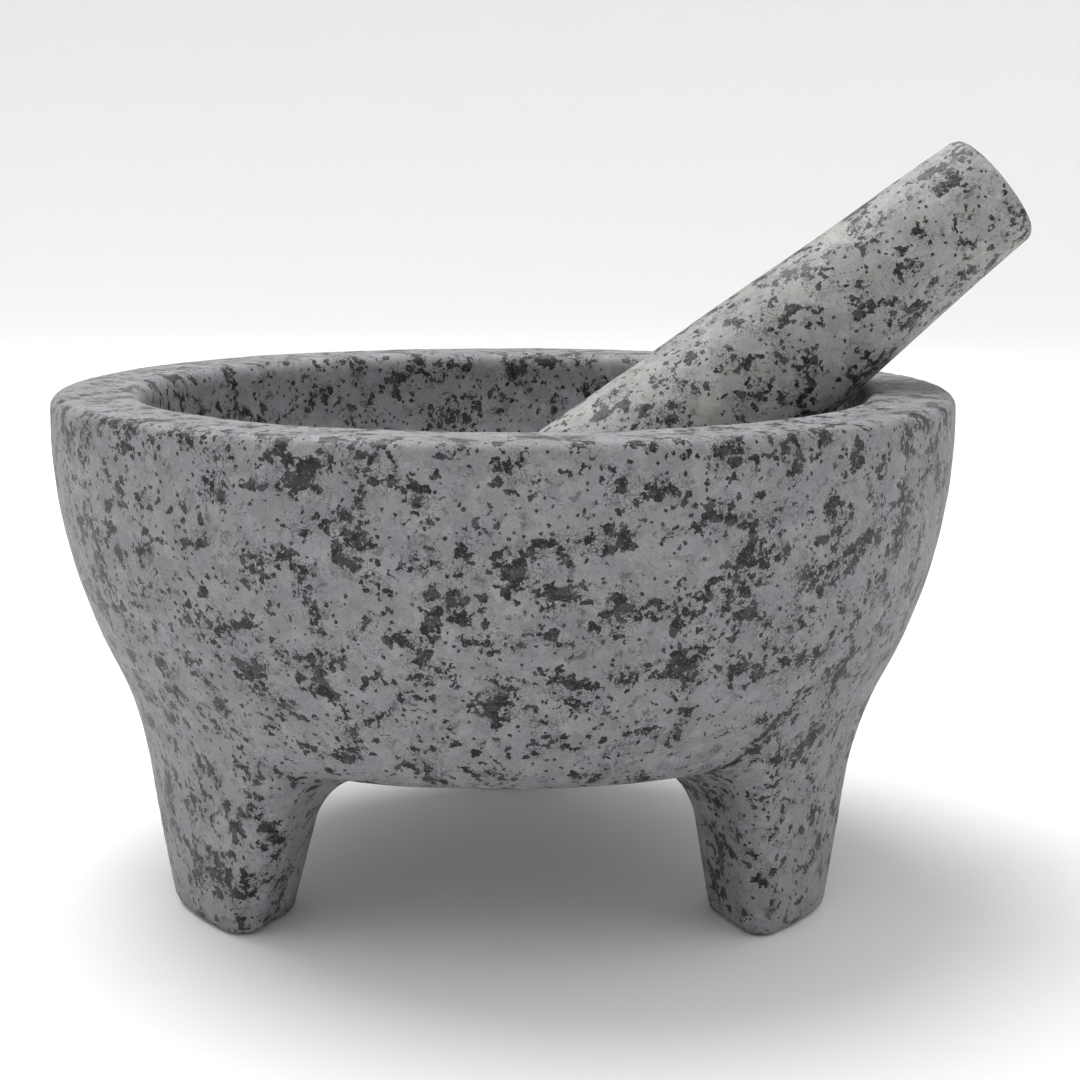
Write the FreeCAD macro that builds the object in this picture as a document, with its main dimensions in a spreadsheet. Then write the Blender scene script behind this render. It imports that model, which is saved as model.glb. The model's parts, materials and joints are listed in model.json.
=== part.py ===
import FreeCAD, Part
import os
from math import asin, atan2, cos, hypot, pi, radians, sin, sqrt, tan
import Sketcher
from FreeCAD import Placement, Rotation, Vector

# A molcajete: a three-legged mortar cut from one block of granite, and its loose granite pestle.
# Millimetres and degrees. Z is up, the feet stand on Z = 0 and the pestle leans towards +X.

SIZES = {
    # mortar, turned outside
    "rim_radius": 101.5,            # outside radius at the rim
    "overall_height": 112.0,        # floor to rim top
    "wall": 20.3,                   # wall thickness at the rim
    "rim_outer_round": 2.8,         # outer edge of the rim top
    "rim_inner_round": 3.8,         # inner edge of the rim top
    "rim_band": 6.0,                # rim top down to where the side starts to curve in
    "side_radius": 121.6,           # curve of the side
    "corner_radius": 14.0,          # side into underside
    "underside_radius": 600.0,      # curve of the underside
    "floor_thickness": 18.0,        # stone under the middle of the hollow
    # mortar, ground hollow
    "hollow_depth": 60.0,           # rim top to the bottom of the hollow
    "hollow_band": 6.0,             # rim top down to where the wall starts to curve in
    "hollow_side_radius": 40.0,     # curve of the wall down to the bottom
    # legs
    "foot_inset": 22.0,             # rim edge in to the outer edge of a foot
    "foot_length": 22.1,            # outer edge of a foot to its inner end
    "leg_wedge": 31.0,              # each side of a leg against the leg's middle line
    "leg_outer_lean": 5.5,          # outer face of a leg from upright
    "leg_tip_lean": 10.0,           # inner end of a leg from upright
    "leg_blend": 75.0,              # hollow blend from the outer face of a leg into the bowl
    "blend_bite": 0.15,             # how far past touching it the blend meets the bowl's side
    "foot_round": 1.5,              # bottom edges of the feet
    # the legs are cut by hand, so each has its own direction from +X, half width at the foot
    # and lean of its sides from upright
    "back_turn": 90.0,
    "back_half_width": 17.5,
    "back_side_lean": 13.0,
    "left_turn": 213.0,
    "left_half_width": 18.3,
    "left_side_lean": 23.0,
    "right_turn": 324.0,
    "right_half_width": 16.6,
    "right_side_lean": 8.5,
    # pestle
    "pestle_length": 155.5,
    "pestle_top_radius": 14.0,      # hand end
    "pestle_ball_radius": 22.2,     # rounded grinding end
    "pestle_top_round": 2.5,        # edge of the hand end
    "pestle_top_dome": 60.0,        # the hand end is slightly domed
    "pestle_rest_x": 9.0,           # where the grinding end stands in the hollow
    "pestle_rest_y": 0.0,
    "pestle_azimuth": 3.0,          # the way the pestle leans, from +X
    "seat_gap": 0.3,                # running gap where the two stones meet
}
LEGS = ("back", "left", "right")
LEVELS = ("foot", "root")
OUTSIDE = 12.0                      # how far a cutting outline runs past the stone
RIM_STEPS = 720                     # points round the rim in the seat calculation
CLOSE = 0.001                       # how near the floor a floor edge lies


# ---- plane geometry: points are (across, up) -------------------------------------------------
def toward(start, end, distance):
    """The point that far from start on the line to end."""
    span = hypot(end[0] - start[0], end[1] - start[1])
    share = distance / span
    return (start[0] + (end[0] - start[0]) * share, start[1] + (end[1] - start[1]) * share)


def circles_cross(first, first_radius, second, second_radius):
    """Both crossings of two circles."""
    span = hypot(second[0] - first[0], second[1] - first[1])
    along = (span ** 2 + first_radius ** 2 - second_radius ** 2) / (2 * span)
    aside = sqrt(first_radius ** 2 - along ** 2)
    foot = toward(first, second, along)
    step = ((second[1] - first[1]) * aside / span, (first[0] - second[0]) * aside / span)
    return (foot[0] + step[0], foot[1] + step[1]), (foot[0] - step[0], foot[1] - step[1])


def line_meets_circle(point, heading, centre, radius):
    """Both meetings of a line with a circle, the one further along the heading last."""
    rel = (point[0] - centre[0], point[1] - centre[1])
    half = rel[0] * heading[0] + rel[1] * heading[1]
    root = sqrt(half ** 2 - rel[0] ** 2 - rel[1] ** 2 + radius ** 2)
    return [(point[0] + heading[0] * t, point[1] + heading[1] * t) for t in (-half - root, -half + root)]


# ---- sizes that follow from the driving ones -------------------------------------------------
def bowl_corners(size):
    """Corners and arc centres of the turned outside of the bowl."""
    radius, height = size["rim_radius"], size["overall_height"]
    under = height - size["hollow_depth"] - size["floor_thickness"]
    side_centre = (radius - size["side_radius"], height - size["rim_band"])
    under_centre = (0.0, under + size["underside_radius"])
    corner_centre = circles_cross(side_centre, size["side_radius"] - size["corner_radius"],
                                  under_centre, size["underside_radius"] - size["corner_radius"])[0]
    corners = {
        "axis_top": (0.0, height),
        "rim_edge": (radius - size["rim_outer_round"], height),
        "rim_side": (radius, height - size["rim_outer_round"]),
        "band_end": (radius, height - size["rim_band"]),
        "side_end": toward(side_centre, corner_centre, size["side_radius"]),
        "corner_end": toward(under_centre, corner_centre, size["underside_radius"]),
        "axis_under": (0.0, under),
    }
    centres = {
        "rim_edge": ("rim_outer_round", (radius - size["rim_outer_round"],
                                         height - size["rim_outer_round"])),
        "band_end": ("side_radius", side_centre),
        "side_end": ("corner_radius", corner_centre),
        "corner_end": ("underside_radius", under_centre),
    }
    return corners, centres


def hollow_corners(size):
    """Corners and arc centres of the ground hollow, with the bottom radius that joins them smoothly."""
    height, lip = size["overall_height"], size["rim_inner_round"]
    wall_radius = size["rim_radius"] - size["wall"]
    side = size["hollow_side_radius"]
    inset = wall_radius - side
    drop = size["hollow_depth"] - size["hollow_band"]
    bottom_radius = (inset ** 2 + drop ** 2 - side ** 2) / (2 * (drop - side))
    floor = height - size["hollow_depth"]
    bottom_centre = (0.0, floor + bottom_radius)
    side_centre = (inset, height - size["hollow_band"])
    corners = {
        "hollow_floor": (0.0, floor),
        "hollow_turn": toward(bottom_centre, side_centre, bottom_radius),
        "wall_foot": (wall_radius, height - size["hollow_band"]),
        "wall_top": (wall_radius, height - lip),
        "lip_edge": (wall_radius + lip, height),
        "lip_above": (wall_radius + lip, height + OUTSIDE),
        "axis_above": (0.0, height + OUTSIDE),
    }
    centres = {
        "hollow_floor": ("hollow_bottom_radius", bottom_centre),
        "hollow_turn": ("hollow_side_radius", side_centre),
        "wall_top": ("rim_inner_round", (wall_radius + lip, height - lip)),
    }
    return corners, centres, bottom_radius


def foot_ends(size):
    """Mortar axis to the outer edge of a foot, and to its inner end."""
    outer = size["rim_radius"] - size["foot_inset"]
    return outer, outer - size["foot_length"]


def trim_corners(size):
    """Corners and arc centre of what is ground away outside the legs."""
    foot_radius, _ = foot_ends(size)
    lean = radians(size["leg_outer_lean"])
    blend = size["leg_blend"]
    side_centre = (size["rim_radius"] - size["side_radius"], size["overall_height"] - size["rim_band"])
    offset_foot = (foot_radius + blend * cos(lean), -blend * sin(lean))
    blend_centre = line_meets_circle(offset_foot, (sin(lean), cos(lean)), side_centre,
                                     size["side_radius"] + blend - size["blend_bite"])[0]
    line_end = (blend_centre[0] - blend * cos(lean), blend_centre[1] + blend * sin(lean))
    blend_top = circles_cross(side_centre, size["side_radius"], blend_centre, blend)[0]
    far = 1.5 * size["rim_radius"]
    corners = {
        "trim_foot": (foot_radius - OUTSIDE * tan(lean), -OUTSIDE),
        "leg_line_end": line_end,
        "blend_top": blend_top,
        "trim_top": (far, blend_top[1]),
        "trim_low": (far, -OUTSIDE),
    }
    return corners, {"leg_line_end": ("leg_blend", blend_centre)}


def leg_corners(size, leg, level, height):
    """Corners and tip radius of a leg's level section, drawn along the leg's middle line."""
    prefix = f"{leg}_{level}"
    foot_radius, foot_tip = foot_ends(size)
    wedge = radians(size["leg_wedge"])
    widening = height * tan(radians(size[leg + "_side_lean"])) / cos(wedge)
    foot_x = sqrt(foot_radius ** 2 - size[leg + "_half_width"] ** 2)
    apex = foot_x - (size[leg + "_half_width"] + widening) / tan(wedge)
    tip = foot_tip - height * tan(radians(size["leg_tip_lean"]))
    tip_radius = (tip - apex) / (1 / sin(wedge) - 1)
    centre = tip + tip_radius
    out = size["rim_radius"]
    side = (out - apex) * tan(wedge)
    touch = (centre - tip_radius * sin(wedge), tip_radius * cos(wedge))
    corners = {
        prefix + "_out_left": (out, side),
        prefix + "_tip_left": touch,
        prefix + "_tip_right": (touch[0], -touch[1]),
        prefix + "_out_right": (out, -side),
    }
    return corners, {prefix + "_tip_left": (prefix + "_tip_radius", (centre, 0.0))}, tip_radius


def pestle_corners(size):
    """Corners and arc centres of the pestle, with the middle of its ball end at (0, 0)."""
    ball, top, dome = size["pestle_ball_radius"], size["pestle_top_radius"], size["pestle_top_dome"]
    crown = size["pestle_length"] - ball
    edge = crown - (dome - sqrt(dome ** 2 - top ** 2))
    taper = asin(ball / hypot(top, edge)) - atan2(top, edge)
    dome_centre = (0.0, crown - dome)
    turn = size["pestle_top_round"]
    inner = ((ball - turn) * cos(taper), (ball - turn) * sin(taper))
    round_centre = line_meets_circle(inner, (-sin(taper), cos(taper)), dome_centre, dome - turn)[1]
    corners = {
        "ball_end": (0.0, -ball),
        "ball_side": (ball * cos(taper), ball * sin(taper)),
        "shaft_end": (round_centre[0] + turn * cos(taper), round_centre[1] + turn * sin(taper)),
        "dome_edge": toward(dome_centre, round_centre, dome),
        "dome_top": (0.0, crown),
    }
    centres = {
        "ball_end": ("pestle_ball_radius", (0.0, 0.0)),
        "shaft_end": ("pestle_top_round", round_centre),
        "dome_edge": ("pestle_top_dome", dome_centre),
    }
    return corners, centres, taper


def pestle_seat(size, bottom_radius, taper):
    """Middle of the ball end and heading of the pestle, leaning on the rim with the seat gap."""
    ball, gap, lip = size["pestle_ball_radius"], size["seat_gap"], size["rim_inner_round"]
    x, y = size["pestle_rest_x"], size["pestle_rest_y"]
    floor = size["overall_height"] - size["hollow_depth"]
    reach = bottom_radius - ball - gap
    middle = Vector(x, y, floor + bottom_radius - sqrt(reach ** 2 - x ** 2 - y ** 2))
    ring = size["rim_radius"] - size["wall"] + lip
    level = size["overall_height"] - lip
    rim = [Vector(ring * cos(a), ring * sin(a), level) - middle
           for a in (2 * pi * step / RIM_STEPS for step in range(RIM_STEPS))]
    azimuth = radians(size["pestle_azimuth"])

    def heading(lean):
        return Vector(cos(lean) * cos(azimuth), cos(lean) * sin(azimuth), sin(lean))

    def rim_gap(lean):
        axis = heading(lean)
        return min(point.cross(axis).Length * cos(taper) + point.dot(axis) * sin(taper)
                   for point in rim if point.dot(axis) > 0) - ball - lip

    low, high = radians(5), radians(85)
    for _ in range(40):
        lean = (low + high) / 2
        if rim_gap(lean) < gap:
            low = lean
        else:
            high = lean
    return middle, heading(high)


# ---- document helpers ------------------------------------------------------------------------
def fill_sheet(doc, cells):
    """Write every size into the spreadsheet, one aliased cell each."""
    sheet = doc.addObject("Spreadsheet::Sheet", "Sizes")
    for row, (name, value) in enumerate(cells.items(), start=1):
        sheet.set(f"A{row}", name)
        sheet.set(f"B{row}", repr(float(value)))
        sheet.setAlias(f"B{row}", name)
    doc.recompute()


def corner_cells(corners):
    """Two cells, NAME_x and NAME_y, for each corner."""
    return {f"{name}_{letter}": value
            for name, point in corners.items() for letter, value in zip("xy", point)}


def origin_part(body, role):
    """One of the body's own origin planes or axes."""
    return next(item for item in body.Origin.OriginFeatures if item.Role == role)


def outline(body, name, plane, corners, centres):
    """Closed sketch through named corners, each bound to its two cells and each arc to its radius."""
    sketch = body.newObject("Sketcher::SketchObject", name)
    sketch.AttachmentSupport = [(origin_part(body, plane), "")]
    sketch.MapMode = "FlatFace"
    names = list(corners)
    starts = []                     # (piece of the sketch, which of its ends is the corner)
    ends = []
    for index, corner in enumerate(names):
        start = Vector(*corners[corner], 0)
        end = Vector(*corners[names[(index + 1) % len(names)]], 0)
        if corner not in centres:
            piece = sketch.addGeometry(Part.LineSegment(start, end), False)
            starts.append((piece, 1))
            ends.append((piece, 2))
            continue
        radius_cell, centre_point = centres[corner]
        centre = Vector(*centre_point, 0)
        circle = Part.Circle(centre, Vector(0, 0, 1), (start - centre).Length)
        begin, finish = start - centre, end - centre
        forward = begin.x * finish.y - begin.y * finish.x > 0
        angles = [atan2(arm.y, arm.x) for arm in ((begin, finish) if forward else (finish, begin))]
        piece = sketch.addGeometry(Part.ArcOfCircle(circle, *angles), False)
        bind(sketch, Sketcher.Constraint("Radius", piece, circle.Radius), radius_cell)
        starts.append((piece, 1 if forward else 2))
        ends.append((piece, 2 if forward else 1))
    for index, corner in enumerate(names):
        sketch.addConstraint(Sketcher.Constraint("Coincident", *ends[index - 1], *starts[index]))
        across, up = corners[corner]
        bind(sketch, Sketcher.Constraint("DistanceX", -1, 1, *starts[index], across), corner + "_x")
        bind(sketch, Sketcher.Constraint("DistanceY", -1, 1, *starts[index], up), corner + "_y")
    return sketch


def bind(sketch, constraint, cell):
    """Add a dimension whose value is a spreadsheet cell."""
    index = sketch.addConstraint(constraint)
    sketch.setExpression(f"Constraints[{index}]", f"Sizes.{cell}")


def turned(body, kind, name, sketch):
    """Revolution or Groove of a sketch round the body's upright axis."""
    feature = body.newObject(kind, name)
    feature.Profile = sketch
    feature.ReferenceAxis = (origin_part(body, "Z_Axis"), [""])
    feature.Angle = 360
    return feature


def is_floor_edge(edge):
    """True for an edge that lies on the floor."""
    return not edge.Degenerated and all(abs(vertex.Z) < CLOSE for vertex in edge.Vertexes)


def edges_where(shape, test):
    """Names of the edges that pass the test."""
    return [f"Edge{index}" for index, edge in enumerate(shape.Edges, start=1) if test(edge)]


def rounded(body, name, base, edges, radius_cell):
    """Fillet on named edges of the feature before it."""
    feature = body.newObject("PartDesign::Fillet", name)
    feature.Base = (base, edges)
    feature.setExpression("Radius", f"Sizes.{radius_cell}")
    return feature


def finish_step(doc, before, after, grows):
    """Recompute, and stop if a step that adds or cuts stone changed nothing."""
    doc.recompute()
    change = after.Shape.Volume - before.Shape.Volume
    if change * (1 if grows else -1) <= 0:
        raise RuntimeError(f"{after.Name} changed the volume by {change:.1f}")


# ---- the two stones --------------------------------------------------------------------------
def make_mortar(doc, size, outlines):
    """Bowl and legs as one stone: turned bowl, three wedge legs trimmed round, ground hollow."""
    body = doc.addObject("PartDesign::Body", "Mortar")
    body.Label = "mortar"
    bowl = turned(body, "PartDesign::Revolution", "Bowl",
                  outline(body, "BowlOutline", "XZ_Plane", *outlines["bowl"]))
    doc.recompute()

    last = bowl
    for leg in LEGS:
        sections = []
        for level in LEVELS:
            section = outline(body, f"{leg.title()}{level.title()}", "XY_Plane", *outlines[f"{leg}_{level}"])
            section.AttachmentOffset = Placement(Vector(), Rotation(Vector(0, 0, 1), size[leg + "_turn"]))
            section.setExpression("AttachmentOffset.Rotation.Angle", f"Sizes.{leg}_turn * 1 deg")
            section.setExpression("AttachmentOffset.Base.z", f"Sizes.{level}_height * 1 mm")
            sections.append(section)
        loft = body.newObject("PartDesign::AdditiveLoft", f"{leg.title()}Leg")
        loft.Profile = sections[0]
        loft.Sections = sections[1:]
        loft.Ruled = True
        finish_step(doc, last, loft, True)
        last = loft

    trim = turned(body, "PartDesign::Groove", "LegTrim",
                  outline(body, "TrimOutline", "XZ_Plane", *outlines["trim"]))
    finish_step(doc, last, trim, False)
    foot_edges = rounded(body, "FootEdges", trim, edges_where(trim.Shape, is_floor_edge), "foot_round")
    finish_step(doc, trim, foot_edges, False)
    hollow = turned(body, "PartDesign::Groove", "Hollow",
                    outline(body, "HollowOutline", "XZ_Plane", *outlines["hollow"]))
    finish_step(doc, foot_edges, hollow, False)
    return body


def make_pestle(doc, outlines):
    """Tapered stone bar with a ball end, turned round its own axis."""
    body = doc.addObject("PartDesign::Body", "Pestle")
    body.Label = "pestle"
    turned(body, "PartDesign::Revolution", "Bar",
           outline(body, "BarOutline", "XZ_Plane", *outlines["pestle"]))
    doc.recompute()
    return body


def main():
    size = dict(SIZES)
    doc = FreeCAD.newDocument("Molcajete")
    bowl = bowl_corners(size)
    *hollow, bottom_radius = hollow_corners(size)
    trim = trim_corners(size)
    *pestle_outline, taper = pestle_corners(size)
    outlines = {"bowl": bowl, "hollow": hollow, "trim": trim, "pestle": pestle_outline}
    heights = {"foot": 0.0, "root": trim[0]["blend_top"][1]}
    cells = dict(size, hollow_bottom_radius=bottom_radius)
    for level in LEVELS:
        cells[level + "_height"] = heights[level]
        for leg in LEGS:
            *outlines[f"{leg}_{level}"], cells[f"{leg}_{level}_tip_radius"] = leg_corners(
                size, leg, level, heights[level])
    for corners, _ in outlines.values():
        cells.update(corner_cells(corners))
    fill_sheet(doc, cells)
    mortar = make_mortar(doc, size, outlines)
    pestle = make_pestle(doc, outlines)

    middle, heading = pestle_seat(size, bottom_radius, taper)
    pestle.Placement = Placement(middle, Rotation(Vector(0, 0, 1), heading))
    doc.recompute()
    box = Part.makeCompound([mortar.Shape, pestle.Shape]).optimalBoundingBox()
    shift = Vector(-box.Center.x, -box.Center.y, 0)
    mortar.Placement = Placement(shift, Rotation())
    pestle.Placement = Placement(middle + shift, pestle.Placement.Rotation)
    doc.recompute()
    print("moved by", shift, "seat gap", round(mortar.Shape.distToShape(pestle.Shape)[0], 3))

    for item in doc.Objects:
        if "Invalid" in item.State or "Error" in item.State:
            raise RuntimeError(f"{item.Name}: {item.State}")
    os.makedirs("parts", exist_ok=True)
    for body in (mortar, pestle):
        if body.Shape.isNull() or not body.Shape.isValid():
            raise RuntimeError(f"{body.Label}: bad shape")
        body.Shape.exportStep(f"parts/{body.Label}.step")
        print(body.Label, len(body.Shape.Solids), "solid", round(body.Shape.Volume / 1000, 1), "cm3")


main()
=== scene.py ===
import json
from math import asin, atan2, cos, hypot, pi, radians, sin, sqrt, tan

import bpy
import numpy as np
from mathutils import Matrix, Vector


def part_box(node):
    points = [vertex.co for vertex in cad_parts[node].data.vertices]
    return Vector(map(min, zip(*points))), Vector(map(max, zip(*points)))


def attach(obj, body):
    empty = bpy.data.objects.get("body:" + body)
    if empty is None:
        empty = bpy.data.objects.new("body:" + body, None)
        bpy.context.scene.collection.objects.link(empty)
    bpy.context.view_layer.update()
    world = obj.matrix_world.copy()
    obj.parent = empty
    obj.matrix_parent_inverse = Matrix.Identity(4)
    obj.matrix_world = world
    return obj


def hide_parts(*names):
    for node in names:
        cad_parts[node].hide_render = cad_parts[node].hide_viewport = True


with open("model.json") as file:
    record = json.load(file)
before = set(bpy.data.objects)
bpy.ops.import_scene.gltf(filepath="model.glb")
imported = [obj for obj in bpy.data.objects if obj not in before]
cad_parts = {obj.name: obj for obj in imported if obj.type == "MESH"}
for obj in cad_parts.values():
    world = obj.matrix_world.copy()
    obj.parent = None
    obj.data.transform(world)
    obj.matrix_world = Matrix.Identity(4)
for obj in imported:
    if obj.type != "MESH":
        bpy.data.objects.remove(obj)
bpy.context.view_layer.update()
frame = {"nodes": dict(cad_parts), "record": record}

# A molcajete: a three-legged mortar cut from one block of granite, and its loose granite pestle.
# Shapes are worked out in millimetres from the mortar's own axis, and go into the meshes in metres.

MM = 0.001

# ---- mortar ----------------------------------------------------------------------------------
mortar_low, mortar_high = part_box("mortar")
AXIS_X = (mortar_low.x + mortar_high.x) / 2
AXIS_Y = (mortar_low.y + mortar_high.y) / 2
RIM_RADIUS = (mortar_high.x - mortar_low.x) / 2 / MM
HEIGHT = mortar_high.z / MM

WALL = 20.3                 # at the rim
RIM_OUTER_ROUND = 2.8
RIM_INNER_ROUND = 3.8
RIM_BAND = 6.0              # rim top down to where the side starts to curve in
SIDE_RADIUS = 121.6
CORNER_ROUND = 14.0         # side into underside
UNDERSIDE_RADIUS = 600.0
FLOOR_THICKNESS = 18.0
HOLLOW_DEPTH = 60.0
HOLLOW_BAND = 6.0
HOLLOW_SIDE_RADIUS = 40.0

FOOT_INSET = 22.0           # outer edge of a foot, in from the rim
FOOT_LENGTH = 22.1
FOOT_RADIUS = RIM_RADIUS - FOOT_INSET
FOOT_TIP = FOOT_RADIUS - FOOT_LENGTH   # axis to the inner end of a foot
LEG_WEDGE = radians(31.0)   # side of a leg against the leg's middle line
LEG_OUTER_LEAN = radians(5.5)
LEG_TIP_LEAN = radians(10.0)
LEG_BLEND = 75.0            # hollow blend from the outer face of a leg into the bowl
LEG_TOP = 60.0              # the legs end inside the bowl's stone
RIDGE_ROUND = 4.0           # upright edges between a leg's outer face and its sides
FOOT_ROUND = 2.0
ROOT_DEPTH = 16.0           # how far behind the outer face the root blend reaches its full size
LEGS = {                    # half width at the foot, lean of the sides, root blend
    "foot_back": (17.5, radians(13.0), 18.0),
    "foot_left": (18.3, radians(23.0), 24.0),
    "foot_right": (16.6, radians(8.5), 18.0),
}
WEAR = 0.28                 # how much stone the finishing took off, at most
CELL = 1.5                  # size of the mortar mesh

# ---- pestle ----------------------------------------------------------------------------------
BALL_RADIUS = 22.2          # rounded grinding end
TOP_RADIUS = 14.0           # hand end
TOP_ROUND = 2.5
TOP_DOME = 60.0             # the hand end is slightly domed
PESTLE_STEP = 1.2           # size of the pestle mesh

# ---- granite colours -------------------------------------------------------------------------
FELDSPAR_COOL, FELDSPAR_WARM = (0.234, 0.236, 0.250, 1), (0.246, 0.2415, 0.237, 1)
MICA_DARK, MICA_PALE = (0.006, 0.005, 0.004, 1), (0.040, 0.041, 0.043, 1)
# painted glint: paler spots laid into the mica's colour in place of light glinting off it
MICA_PAINTED_GLINT = (0.10, 0.10, 0.104, 1)
MORTAR_TINT = (0.96, 0.96, 0.97, 1)
PESTLE_TINT = (1.30, 1.285, 1.25, 1)        # its block is paler and a little warmer
PESTLE_SHIFT = (310.0, 70.0, 40.0)          # so that the two stones' flecks differ

# ---- studio, in metres -----------------------------------------------------------------------
FLOOR_FLAT = 1.6            # radius of the flat floor
FLOOR_CURVE = 1.0           # round up from the floor into the backdrop
BACKDROP_TOP = 2.2
FLOOR_SIDES = 96            # faces round the floor
LAMP_PLACE = (-0.35, 0.4, 1.5)
LAMP_SIZE = 1.2
LAMP_POWER = 23.0           # watts
SURROUNDINGS = 0.87         # strength of the even white light from all round
CAMERA_LENS = 71.28         # millimetres, on a sensor 36 wide
CAMERA_DISTANCE = 4.8 * RIM_RADIUS * MM
CAMERA_ABOVE_RIM = 0.4986 * RIM_RADIUS * MM
CAMERA_YAW, CAMERA_PITCH, CAMERA_ROLL = 0.0169, 0.1758, 0.0024   # radians

# ---- numpy shape tools -----------------------------------------------------------------------
def overlap(first, second, edge_round, turn=pi / 2):
    """Distance to what lies in both of two solids whose faces look that far apart. It is the larger of
    the two, and near the edge the distance to a round that touches both faces."""
    over, aside = first + edge_round, second + edge_round
    reach = np.sqrt(over ** 2 + aside ** 2 - 2 * cos(turn) * over * aside) / sin(turn)
    at_edge = (over > aside * cos(turn)) & (aside > over * cos(turn))
    return np.where(at_edge, reach - edge_round, np.maximum(first, second))


def joined(first, second, root_round, turn):
    """Distance to two solids together, with a hollow round where their faces meet."""
    return -overlap(-first, -second, root_round, turn)


def circles_cross(first, first_radius, second, second_radius):
    """The crossing of two circles that lies to the right of the line from the first to the second."""
    step = np.subtract(second, first)
    span = np.hypot(*step)
    along = (span ** 2 + first_radius ** 2 - second_radius ** 2) / (2 * span)
    aside = sqrt(first_radius ** 2 - along ** 2)
    return first + (step * along + np.array([step[1], -step[0]]) * aside) / span


def ripple(points, length, seed, waves=20):
    """Gentle unevenness from 0 to 1: a sum of cosine waves of about one length in every direction."""
    random = np.random.default_rng(seed)
    heading = random.normal(size=(waves, 3))
    heading /= np.linalg.norm(heading, axis=1)[:, None]
    pace = 2 * pi / (length * random.uniform(0.7, 1.5, waves))
    phase = random.uniform(0, 2 * pi, waves)
    total = np.zeros(len(points))
    for k in range(waves):
        total += np.cos(points @ (heading[k] * pace[k]) + phase[k])
    return 0.5 + 0.5 * np.tanh(total / sqrt(waves))


def wear_of(points):
    """Stone taken off by hand finishing: long soft waves and short shallow ones."""
    return WEAR * (0.7 * ripple(points, 42.0, 3) + 0.3 * ripple(points, 9.0, 4))


def skin(distance, low, high, cell):
    """Points and four-sided faces of the zero surface of a distance: one point in each grid cell that
    it passes through, at the mean of its crossings of the cell's edges, and one face round each grid
    edge that it crosses."""
    steps = [np.arange(a, b + cell, cell) for a, b in zip(low, high)]
    shape = np.array([len(s) for s in steps])
    grid = np.stack(np.meshgrid(*steps, indexing="ij"), -1).reshape(-1, 3)
    value = distance(grid).reshape(shape)
    inside = value < 0
    cells = int(np.prod(shape))
    total, count = np.zeros((cells, 3)), np.zeros(cells)
    rings, flips = [], []
    for axis in range(3):
        across, up = (axis + 1) % 3, (axis + 2) % 3
        ahead = np.zeros(3, int)
        ahead[axis] = 1
        lower = [slice(0, -1) if k == axis else slice(1, -1) for k in range(3)]
        upper = [slice(1, None) if k == axis else slice(1, -1) for k in range(3)]
        crossed = np.argwhere(inside[tuple(lower)] != inside[tuple(upper)])
        crossed += [0 if k == axis else 1 for k in range(3)]
        here, there = value[tuple(crossed.T)], value[tuple((crossed + ahead).T)]
        meeting = np.stack([steps[k][crossed[:, k]] for k in range(3)], 1)
        meeting[:, axis] += cell * here / (here - there)
        ring = []
        for back_across, back_up in ((1, 1), (0, 1), (0, 0), (1, 0)):
            corner = crossed.copy()
            corner[:, across] -= back_across
            corner[:, up] -= back_up
            ring.append(np.ravel_multi_index(tuple(corner.T), shape))
            count += np.bincount(ring[-1], minlength=cells)
            for k in range(3):
                total[:, k] += np.bincount(ring[-1], meeting[:, k], cells)
        rings.append(np.stack(ring, 1))
        flips.append(here > 0)
    faces, flip = np.concatenate(rings), np.concatenate(flips)
    faces[flip] = faces[flip][:, ::-1]
    used = np.flatnonzero(count)
    number = np.zeros(cells, int)
    number[used] = np.arange(len(used))
    return total[used] / count[used][:, None], number[faces]


def settled(points, faces, distance, rounds):
    """Even out a mesh on its surface: each point goes half way to the mean of its neighbours, then
    back along the slope of the distance to where the distance is zero."""
    starts, ends = faces.ravel(), np.roll(faces, -1, axis=1).ravel()
    degree = np.bincount(starts, minlength=len(points))[:, None]
    probe = 0.05 * np.eye(3)
    for _ in range(rounds):
        mean = np.stack([np.bincount(starts, points[ends, k], len(points)) for k in range(3)], 1) / degree
        points = 0.5 * (points + mean)
        for _ in range(2):
            away = distance(points)
            slope = np.stack([distance(points + step) - away for step in probe], 1) / 0.05
            points = points - slope * (away / (slope ** 2).sum(1))[:, None]
    return points


def mesh_piece(name, points, faces, material):
    """A smooth-shaded object from points in metres and rows of faces."""
    mesh = bpy.data.meshes.new(name)
    mesh.from_pydata(points, [], faces)
    mesh.update()
    mesh.shade_smooth()
    mesh.materials.append(material)
    piece = bpy.data.objects.new(name, mesh)
    bpy.context.scene.collection.objects.link(piece)
    return piece


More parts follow.
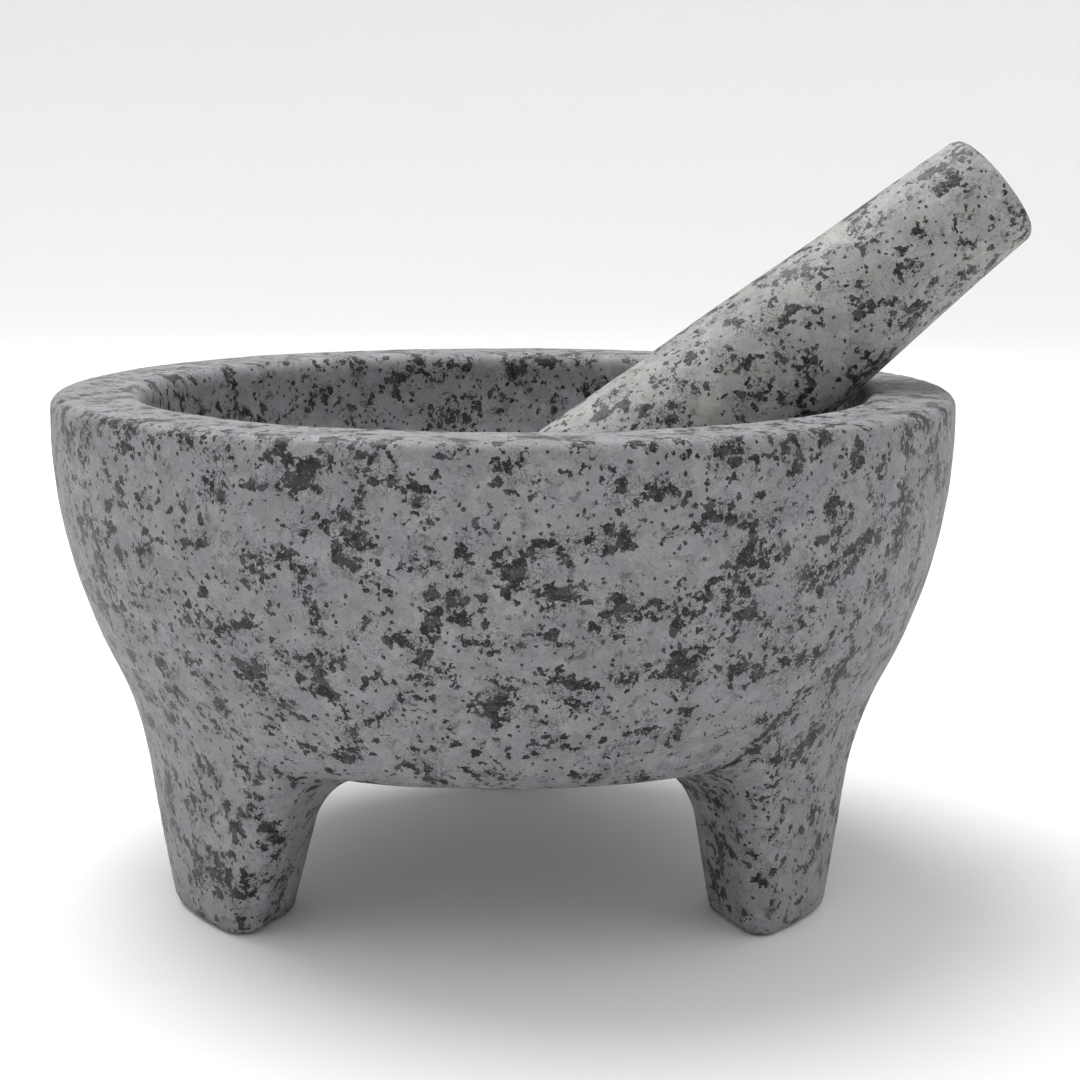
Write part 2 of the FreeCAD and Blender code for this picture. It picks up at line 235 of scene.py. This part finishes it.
# ---- the mortar's shape ----------------------------------------------------------------------
def bowl_distances(radius, height):
    """Distances to the bowl's outside and to its ground hollow, both turned round the axis."""
    side_x, band = RIM_RADIUS - SIDE_RADIUS, HEIGHT - RIM_BAND
    side = np.where(height > band, radius - RIM_RADIUS,
                    np.hypot(radius - side_x, height - band) - SIDE_RADIUS)
    under_level = HEIGHT - HOLLOW_DEPTH - FLOOR_THICKNESS + UNDERSIDE_RADIUS
    under = np.hypot(radius, height - under_level) - UNDERSIDE_RADIUS
    corner_x, corner_z = circles_cross((side_x, band), SIDE_RADIUS - CORNER_ROUND,
                                       (0, under_level), UNDERSIDE_RADIUS - CORNER_ROUND)
    out, up = radius - corner_x, height - corner_z
    at_corner = ((out * (corner_z - band) > up * (corner_x - side_x))
                 & (corner_x * up > (corner_z - under_level) * out))
    outside = np.where(at_corner, np.hypot(out, up) - CORNER_ROUND, np.maximum(side, under))

    inset, wall_level = RIM_RADIUS - WALL - HOLLOW_SIDE_RADIUS, HEIGHT - HOLLOW_BAND
    drop = HOLLOW_DEPTH - HOLLOW_BAND
    bottom_radius = (inset ** 2 + drop ** 2 - HOLLOW_SIDE_RADIUS ** 2) / (2 * (drop - HOLLOW_SIDE_RADIUS))
    bottom_level = HEIGHT - HOLLOW_DEPTH + bottom_radius
    bottom = np.hypot(radius, height - bottom_level) - bottom_radius
    wall = np.hypot(radius - inset, height - wall_level) - HOLLOW_SIDE_RADIUS
    in_middle = radius * (bottom_level - wall_level) < inset * (bottom_level - height)
    hollow = np.where(height > wall_level, radius - inset - HOLLOW_SIDE_RADIUS,
                      np.where(in_middle, bottom, wall))
    return side, outside, hollow


def leg_outside(radius, height, side):
    """Distance to the ground outer face of the legs: a leaning line, a hollow arc, then the bowl's
    own side."""
    lean_cos, lean_sin = cos(LEG_OUTER_LEAN), sin(LEG_OUTER_LEAN)
    line = (radius - FOOT_RADIUS) * lean_cos - height * lean_sin
    # middle of the hollow arc: that far outside both the leaning line and the side's circle
    side_x, side_z = RIM_RADIUS - SIDE_RADIUS, HEIGHT - RIM_BAND
    start_x, start_z = FOOT_RADIUS + LEG_BLEND * lean_cos, -LEG_BLEND * lean_sin
    rel_x, rel_z, reach = start_x - side_x, start_z - side_z, SIDE_RADIUS + LEG_BLEND
    half = rel_x * lean_sin + rel_z * lean_cos
    along = -half - sqrt(half ** 2 - rel_x ** 2 - rel_z ** 2 + reach ** 2)
    blend_x, blend_z = start_x + along * lean_sin, start_z + along * lean_cos
    arc = LEG_BLEND - np.hypot(radius - blend_x, height - blend_z)
    past_line = (radius - blend_x) * lean_sin + (height - blend_z) * lean_cos > 0
    past_arc = (height - side_z) * (blend_x - side_x) > (radius - side_x) * (blend_z - side_z)
    return np.where(past_line, np.where(past_arc, side, arc), line)


def leg_wedge(points, turn, half_width, lean):
    """Distance to a leg's sides and rounded inner end: a wedge that widens upwards."""
    out = points[:, 0] * cos(turn) + points[:, 1] * sin(turn)
    aside = np.abs(points[:, 1] * cos(turn) - points[:, 0] * sin(turn))
    height = points[:, 2]
    foot_out = sqrt(FOOT_RADIUS ** 2 - half_width ** 2)
    apex = foot_out - (half_width + height * tan(lean) / cos(LEG_WEDGE)) / tan(LEG_WEDGE)
    tip = FOOT_TIP - height * tan(LEG_TIP_LEAN)
    nose = (tip - apex) / (1 / sin(LEG_WEDGE) - 1)
    middle = tip + nose
    wall = (aside * cos(LEG_WEDGE) - (out - apex) * sin(LEG_WEDGE)) * cos(lean)
    end = np.hypot(out - middle, aside) - nose
    return np.where((out - middle) * cos(LEG_WEDGE) + aside * sin(LEG_WEDGE) < 0, end, wall)


def mortar_distance(points):
    """Distance to the mortar's stone: the turned bowl, joined to each leg with a blend that fades
    out towards the outer face, less the ground hollow, with every edge rounded."""
    radius, height = np.hypot(points[:, 0], points[:, 1]), points[:, 2]
    side, stone, hollow = bowl_distances(radius, height)
    face = leg_outside(radius, height, side)
    behind = np.clip(-face / ROOT_DEPTH, 0, 1)
    for name, (half_width, lean, root) in LEGS.items():
        spot = next(m["pos_m"] for m in frame["record"]["mounts"] if m["name"] == name)
        turn = atan2(spot[1] - AXIS_Y, spot[0] - AXIS_X)
        leg = overlap(leg_wedge(points, turn, half_width, lean), face, RIDGE_ROUND, pi / 2 + LEG_WEDGE)
        leg = np.maximum(overlap(leg, -height, FOOT_ROUND), height - LEG_TOP)
        stone = joined(stone, leg, root * behind, pi / 2 - lean)
    stone = overlap(stone, height - HEIGHT, RIM_OUTER_ROUND)
    return overlap(stone, -hollow, RIM_INNER_ROUND) + wear_of(points)


def make_mortar(material):
    """The mortar's one stone, as the zero surface of its distance."""
    margin = 3 * CELL
    reach = RIM_RADIUS + margin
    points, faces = skin(mortar_distance, (-reach, -reach, -margin), (reach, reach, HEIGHT + margin), CELL)
    points = settled(points, faces, mortar_distance, 4)
    points = (points + [AXIS_X / MM, AXIS_Y / MM, 0]) * MM
    return mesh_piece("granite_mortar", points, faces, material)


# ---- the pestle's shape ----------------------------------------------------------------------
def pestle_line():
    """Where the pestle lies: middle of its ball end, heading to the hand end and overall length, in
    millimetres. A turned stone's centre of mass is on its axis."""
    low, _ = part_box("pestle")
    mesh = frame["nodes"]["pestle"].data
    mesh.calc_loop_triangles()
    spots = np.zeros(len(mesh.vertices) * 3)
    mesh.vertices.foreach_get("co", spots)
    spots = spots.reshape(-1, 3) / MM
    corners = np.zeros(len(mesh.loop_triangles) * 3, int)
    mesh.loop_triangles.foreach_get("vertices", corners)
    a, b, c = (spots[corners[k::3]] for k in range(3))
    volume = (a * np.cross(b, c)).sum(1)
    balance = ((a + b + c) * volume[:, None]).sum(0) / volume.sum() / 4
    middle = np.array(low) / MM + BALL_RADIUS
    heading = (balance - middle) / np.linalg.norm(balance - middle)
    return middle, heading, ((spots - middle) @ heading).max() + BALL_RADIUS


def pestle_profile(length):
    """Outline from the ball's pole to the hand end's pole, as (radius, distance along the axis): ball
    arc, taper touching the ball, small round, shallow dome."""
    crown = length - BALL_RADIUS
    edge = crown - (TOP_DOME - sqrt(TOP_DOME ** 2 - TOP_RADIUS ** 2))
    taper = asin(BALL_RADIUS / hypot(TOP_RADIUS, edge)) - atan2(TOP_RADIUS, edge)
    # middle of the small round: inside the taper by its radius, and inside the dome by its radius
    dome_middle = crown - TOP_DOME
    inner_r, inner_z = (BALL_RADIUS - TOP_ROUND) * cos(taper), (BALL_RADIUS - TOP_ROUND) * sin(taper)
    reach = TOP_DOME - TOP_ROUND
    half = -inner_r * sin(taper) + (inner_z - dome_middle) * cos(taper)
    along = -half + sqrt(half ** 2 - inner_r ** 2 - (inner_z - dome_middle) ** 2 + reach ** 2)
    round_r, round_z = inner_r - along * sin(taper), inner_z + along * cos(taper)
    dome_turn = atan2(round_z - dome_middle, round_r)

    ball = np.linspace(-pi / 2, taper, round(BALL_RADIUS * (taper + pi / 2) / PESTLE_STEP))
    run = np.linspace(0, 1, round(along / PESTLE_STEP))[1:, None]
    turn = np.linspace(taper, dome_turn, 7)[1:]
    dome = np.linspace(dome_turn, pi / 2, round(TOP_RADIUS / PESTLE_STEP))[1:]
    start = BALL_RADIUS * np.array([cos(taper), sin(taper)])
    end = start + along * np.array([-sin(taper), cos(taper)])
    return np.concatenate([
        BALL_RADIUS * np.stack([np.cos(ball), np.sin(ball)], 1),
        start + (end - start) * run,
        [round_r, round_z] + TOP_ROUND * np.stack([np.cos(turn), np.sin(turn)], 1),
        [0, dome_middle] + TOP_DOME * np.stack([np.cos(dome), np.sin(dome)], 1),
    ])


def make_pestle(material):
    """The pestle's outline carried round its axis, closed with one point at each pole, and lowered
    along its own radius by the wear."""
    middle, heading, length = pestle_line()
    profile = pestle_profile(length)
    ring = profile[1:-1]
    around = round(2 * pi * BALL_RADIUS / PESTLE_STEP)
    angle = np.linspace(0, 2 * pi, around, endpoint=False)
    along, turn = np.meshgrid(np.arange(len(ring)), angle, indexing="ij")
    spots = np.stack([ring[along, 0] * np.cos(turn), ring[along, 0] * np.sin(turn), ring[along, 1]], -1)
    poles = [[0, 0, profile[0, 1]], [0, 0, profile[-1, 1]]]
    spots = np.concatenate([spots.reshape(-1, 3), poles])
    inward = spots - [0, 0, 1] * np.clip(spots[:, 2:], 0, length - 2 * BALL_RADIUS)
    inward /= np.linalg.norm(inward, axis=1)[:, None]
    spots = spots - inward * (WEAR * ripple(spots, 30.0, 5))[:, None]
    aside = np.cross([0, 1, 0], heading)
    aside /= np.linalg.norm(aside)
    spots = (middle + spots @ np.stack([aside, np.cross(heading, aside), heading])) * MM

    row, column = np.meshgrid(np.arange(len(ring) - 1), np.arange(around), indexing="ij")
    here, beside = row * around + column, row * around + (column + 1) % around
    quads = np.stack([here, beside, beside + around, here + around], -1).reshape(-1, 4)
    first, last = np.arange(around), (len(ring) - 1) * around + np.arange(around)
    low_pole, high_pole = len(ring) * around, len(ring) * around + 1
    low_fan = np.stack([np.roll(first, -1), first, np.full(around, low_pole)], 1)
    high_fan = np.stack([last, np.roll(last, -1), np.full(around, high_pole)], 1)
    faces = quads.tolist() + low_fan.tolist() + high_fan.tolist()
    return mesh_piece("granite_pestle", spots, faces, material)


# ---- granite ---------------------------------------------------------------------------------
class Shader:
    """A material's nodes, added one at a time, each giving its output socket."""

    def __init__(self, name):
        self.material = bpy.data.materials.new(name)
        self.material.use_nodes = True
        self.tree = self.material.node_tree
        self.tree.nodes.clear()

    def add(self, kind, inputs, output=0, **settings):
        """A node of that kind, with its inputs linked or set."""
        node = self.tree.nodes.new("ShaderNode" + kind)
        for key, value in settings.items():
            setattr(node, key, value)
        for key, value in inputs.items():
            if isinstance(value, bpy.types.NodeSocket):
                self.tree.links.new(value, node.inputs[key])
            else:
                node.inputs[key].default_value = value
        return None if output is None else node.outputs[output]

    def math(self, operation, *values):
        """Arithmetic on up to three values."""
        return self.add("Math", dict(enumerate(values)), operation=operation)

    def noise(self, place, size, detail=2.0, rough=0.5, distort=0.0, output=0):
        """Noise whose lumps are about that many millimetres across."""
        return self.add("TexNoise", {"Vector": place, "Scale": 1 / size, "Detail": detail,
                                     "Roughness": rough, "Distortion": distort}, output=output)

    def step(self, value, low, high):
        """0 under low, 1 over high, smooth between."""
        return self.add("MapRange", {"Value": value, "From Min": low, "From Max": high},
                        interpolation_type="SMOOTHSTEP")

    def mixed(self, share, under, over, blend="MIX"):
        """Two colours mixed: that share of the second laid over the first."""
        node = self.tree.nodes.new("ShaderNodeMix")
        node.data_type, node.blend_type = "RGBA", blend
        for socket, value in ((node.inputs[0], share), (node.inputs[6], under), (node.inputs[7], over)):
            if isinstance(value, bpy.types.NodeSocket):
                self.tree.links.new(value, socket)
            else:
                socket.default_value = value
        return node.outputs[2]


def granite(name, tint, shift):
    """Honed granite: pale feldspar, some smoky quartz grains, angular dark mica crystals that gather in
    clusters, stringers and dots, fine pepper in patches, and a satin surface with shallow pits."""
    stone = Shader(name)
    object_place = stone.add("TexCoord", {}, output="Object")
    place = stone.add("Mapping", {"Vector": object_place, "Location": shift, "Scale": (1 / MM,) * 3})
    fine = stone.noise(place, 0.55, 2.0, 0.6)

    def warped(size, amount):
        """The place moved about by noise, so that edges drawn on it come out ragged."""
        wobble = stone.noise(place, size, 2.0, 0.65, output=1)
        wobble = stone.add("VectorMath", {0: wobble, 1: (0.5,) * 3}, operation="SUBTRACT")
        wobble = stone.add("VectorMath", {0: wobble, "Scale": amount}, operation="SCALE")
        return stone.add("VectorMath", {0: place, 1: wobble}, operation="ADD")

    def crystals(where, size):
        """One random value per crystal."""
        cell = stone.add("TexVoronoi", {"Vector": where, "Scale": 1 / size}, output="Color")
        return stone.add("SeparateColor", {0: cell})

    ragged, nibbled = warped(1.6, 3.4), warped(0.9, 1.3)

    # feldspar ground: warm and cool patches, and crystals a little lighter or darker
    warm_cool = stone.step(stone.noise(place, 8.0, 2.0, 0.6), 0.38, 0.62)
    ground = stone.mixed(warm_cool, FELDSPAR_COOL, FELDSPAR_WARM)
    value = stone.math("MULTIPLY_ADD", crystals(ragged, 4.5), 0.20, 0.88)
    value = stone.math("MULTIPLY_ADD", stone.step(crystals(nibbled, 2.4), 0.80, 0.86), 0.13, value)
    mottle = stone.noise(place, 1.8, 4.0, 0.7)
    value = stone.math("MULTIPLY", value, stone.math("MULTIPLY_ADD", mottle, 0.5, 0.77))

    # smoky quartz, soft-edged
    quartz = stone.step(stone.noise(ragged, 2.4, 3.0, 0.6), 0.56, 0.68)
    value = stone.math("MULTIPLY", value, stone.math("MULTIPLY_ADD", quartz, -0.45, 1.0))

    # where the dark minerals gather
    cluster = stone.noise(place, 7.0, 3.0, 0.6)

    # fine pepper, thick in patches
    patch = stone.step(stone.noise(place, 7.0, 1.0, 0.5, 0.4), 0.48, 0.60)
    pepper = stone.step(stone.noise(place, 0.42, 1.0), 0.46, 0.60)
    pepper = stone.math("MULTIPLY", pepper, stone.math("MULTIPLY_ADD", patch, 0.34, 0.13))
    value = stone.math("MULTIPLY", value, stone.math("SUBTRACT", 1.0, pepper))
    ground = stone.mixed(1.0, ground, stone.add("CombineColor", {0: value, 1: value, 2: value}), "MULTIPLY")

    # dark mica: lumps, medium and small crystals, stringers and dots
    def gathered(where, size, spread, low, high):
        """Whole crystals turned dark, more of them where the dark minerals gather."""
        likely = stone.math("MULTIPLY_ADD", cluster, spread, crystals(where, size))
        return stone.step(likely, low, high)

    lump = stone.math("MULTIPLY_ADD", cluster, 0.75, stone.noise(ragged, 3.0, 2.0, 0.5, 0.4))
    lump = stone.step(stone.math("MULTIPLY_ADD", fine, 0.14, lump), 1.085, 1.115)
    medium = gathered(nibbled, 2.1, 1.7, 1.77, 1.79)
    small = gathered(nibbled, 1.2, 1.3, 1.56, 1.59)
    stringer = stone.math("ABSOLUTE", stone.math("SUBTRACT", stone.noise(nibbled, 3.4, 1.0, 0.5, 1.0), 0.5))
    stringer = stone.math("SUBTRACT", stone.math("MULTIPLY_ADD", cluster, 0.12, -0.064), stringer)
    stringer = stone.step(stringer, -0.004, 0.002)
    dots = stone.step(stone.add("TexVoronoi", {"Vector": nibbled, "Scale": 1 / 2.3}), 0.21, 0.15)
    flecks = stone.math("MAXIMUM", stone.math("MAXIMUM", lump, medium),
                        stone.math("MAXIMUM", small, stone.math("MAXIMUM", stringer, dots)))
    tone = crystals(nibbled, 1.8)
    mica = stone.mixed(stone.step(tone, 0.2, 1.0), MICA_DARK, MICA_PALE)
    # painted glint: paler spots in the mica where the fine noise is high
    mica = stone.mixed(stone.step(fine, 0.54, 0.70), mica, MICA_PAINTED_GLINT)
    colour = stone.mixed(flecks, ground, mica)
    colour = stone.mixed(1.0, colour, tint, "MULTIPLY")

    pits = stone.noise(place, 0.5, 3.0, 0.7)
    swell = stone.noise(place, 2.5, 2.0)
    height = stone.math("MULTIPLY_ADD", swell, 0.6, pits)
    bump = stone.add("Bump", {"Height": height, "Strength": 0.25, "Distance": 0.12 * MM})
    roughness = stone.math("MULTIPLY_ADD", flecks, -0.12, stone.math("MULTIPLY_ADD", pits, 0.2, 0.5))
    surface = stone.add("BsdfPrincipled", {"Base Color": colour, "Roughness": roughness, "Normal": bump,
                                           "IOR": 1.5, "Specular IOR Level": 0.30})
    stone.add("OutputMaterial", {"Surface": surface}, output=None)
    return stone.material


# ---- studio ----------------------------------------------------------------------------------
def make_floor():
    """A plain pale floor that curves up into a round backdrop: a flat disc, a quarter circle and an
    upright wall, carried round the middle."""
    paint = Shader("pale_floor")
    surface = paint.add("BsdfPrincipled", {"Base Color": (0.86, 0.86, 0.86, 1), "Roughness": 0.9})
    paint.add("OutputMaterial", {"Surface": surface}, output=None)
    around = FLOOR_SIDES
    rise = np.linspace(-pi / 2, 0, 13)
    radius = np.concatenate([[0.4, 0.8, 1.2], FLOOR_FLAT + FLOOR_CURVE * np.cos(rise),
                             [FLOOR_FLAT + FLOOR_CURVE]])
    height = np.concatenate([[0, 0, 0], FLOOR_CURVE + FLOOR_CURVE * np.sin(rise), [BACKDROP_TOP]])
    turn = np.linspace(0, 2 * pi, around, endpoint=False)
    spots = np.stack([np.outer(radius, np.cos(turn)), np.outer(radius, np.sin(turn)),
                      np.outer(height, np.ones(around))], -1).reshape(-1, 3)
    row, column = np.meshgrid(np.arange(len(radius) - 1), np.arange(around), indexing="ij")
    here, beside = row * around + column, row * around + (column + 1) % around
    quads = np.stack([here, here + around, beside + around, beside], -1).reshape(-1, 4)
    middle = np.stack([np.arange(around), (np.arange(around) + 1) % around, np.full(around, len(spots))], 1)
    floor = mesh_piece("floor", np.concatenate([spots, [[0, 0, 0]]]), quads.tolist() + middle.tolist(),
                       paint.material)


def make_light(name, place, aim, size, power):
    """A round soft light of that size, in metres, and power, in watts."""
    lamp = bpy.data.lights.new(name, "AREA")
    lamp.shape, lamp.size, lamp.energy = "DISK", size, power
    holder = bpy.data.objects.new(name, lamp)
    place, aim = Vector(place), Vector(aim)
    holder.matrix_world = Matrix.LocRotScale(place, (aim - place).to_track_quat("-Z", "Y"), None)
    bpy.context.scene.collection.objects.link(holder)


def make_studio():
    """Soft white surroundings and a broad overhead light."""
    world = bpy.data.worlds.new("studio")
    world.use_nodes = True
    world.node_tree.nodes["Background"].inputs["Color"].default_value = (1.0, 1.0, 1.0, 1.0)
    world.node_tree.nodes["Background"].inputs["Strength"].default_value = SURROUNDINGS
    bpy.context.scene.world = world
    make_light("overhead", LAMP_PLACE, (0, 0, 0.05), LAMP_SIZE, LAMP_POWER)
    bpy.context.scene.view_settings.view_transform = "Standard"


def make_camera():
    """Just above the rim, in front of the mortar, looking slightly down."""
    yaw, pitch, roll = CAMERA_YAW, CAMERA_PITCH, CAMERA_ROLL
    forward = Vector((sin(yaw) * cos(pitch), cos(yaw) * cos(pitch), -sin(pitch)))
    right = Vector((cos(yaw), -sin(yaw), 0))
    up = right.cross(forward)
    right, up = right * cos(roll) + up * sin(roll), up * cos(roll) - right * sin(roll)
    lens = bpy.data.cameras.new("camera")
    lens.sensor_width, lens.lens = 36.0, CAMERA_LENS
    lens.clip_start = 0.01
    camera = bpy.data.objects.new("camera", lens)
    turn = Matrix((right, up, -forward)).transposed().to_4x4()
    place = Vector((AXIS_X, AXIS_Y - CAMERA_DISTANCE, HEIGHT * MM + CAMERA_ABOVE_RIM))
    camera.matrix_world = Matrix.Translation(place) @ turn
    bpy.context.scene.collection.objects.link(camera)
    bpy.context.scene.camera = camera


make_studio()
make_floor()
make_camera()

mortar = make_mortar(granite("mortar_granite", MORTAR_TINT, (0.0, 0.0, 0.0)))
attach(mortar, "mortar")
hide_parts("mortar")

pestle = make_pestle(granite("pestle_granite", PESTLE_TINT, PESTLE_SHIFT))
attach(pestle, "pestle")
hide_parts("pestle")
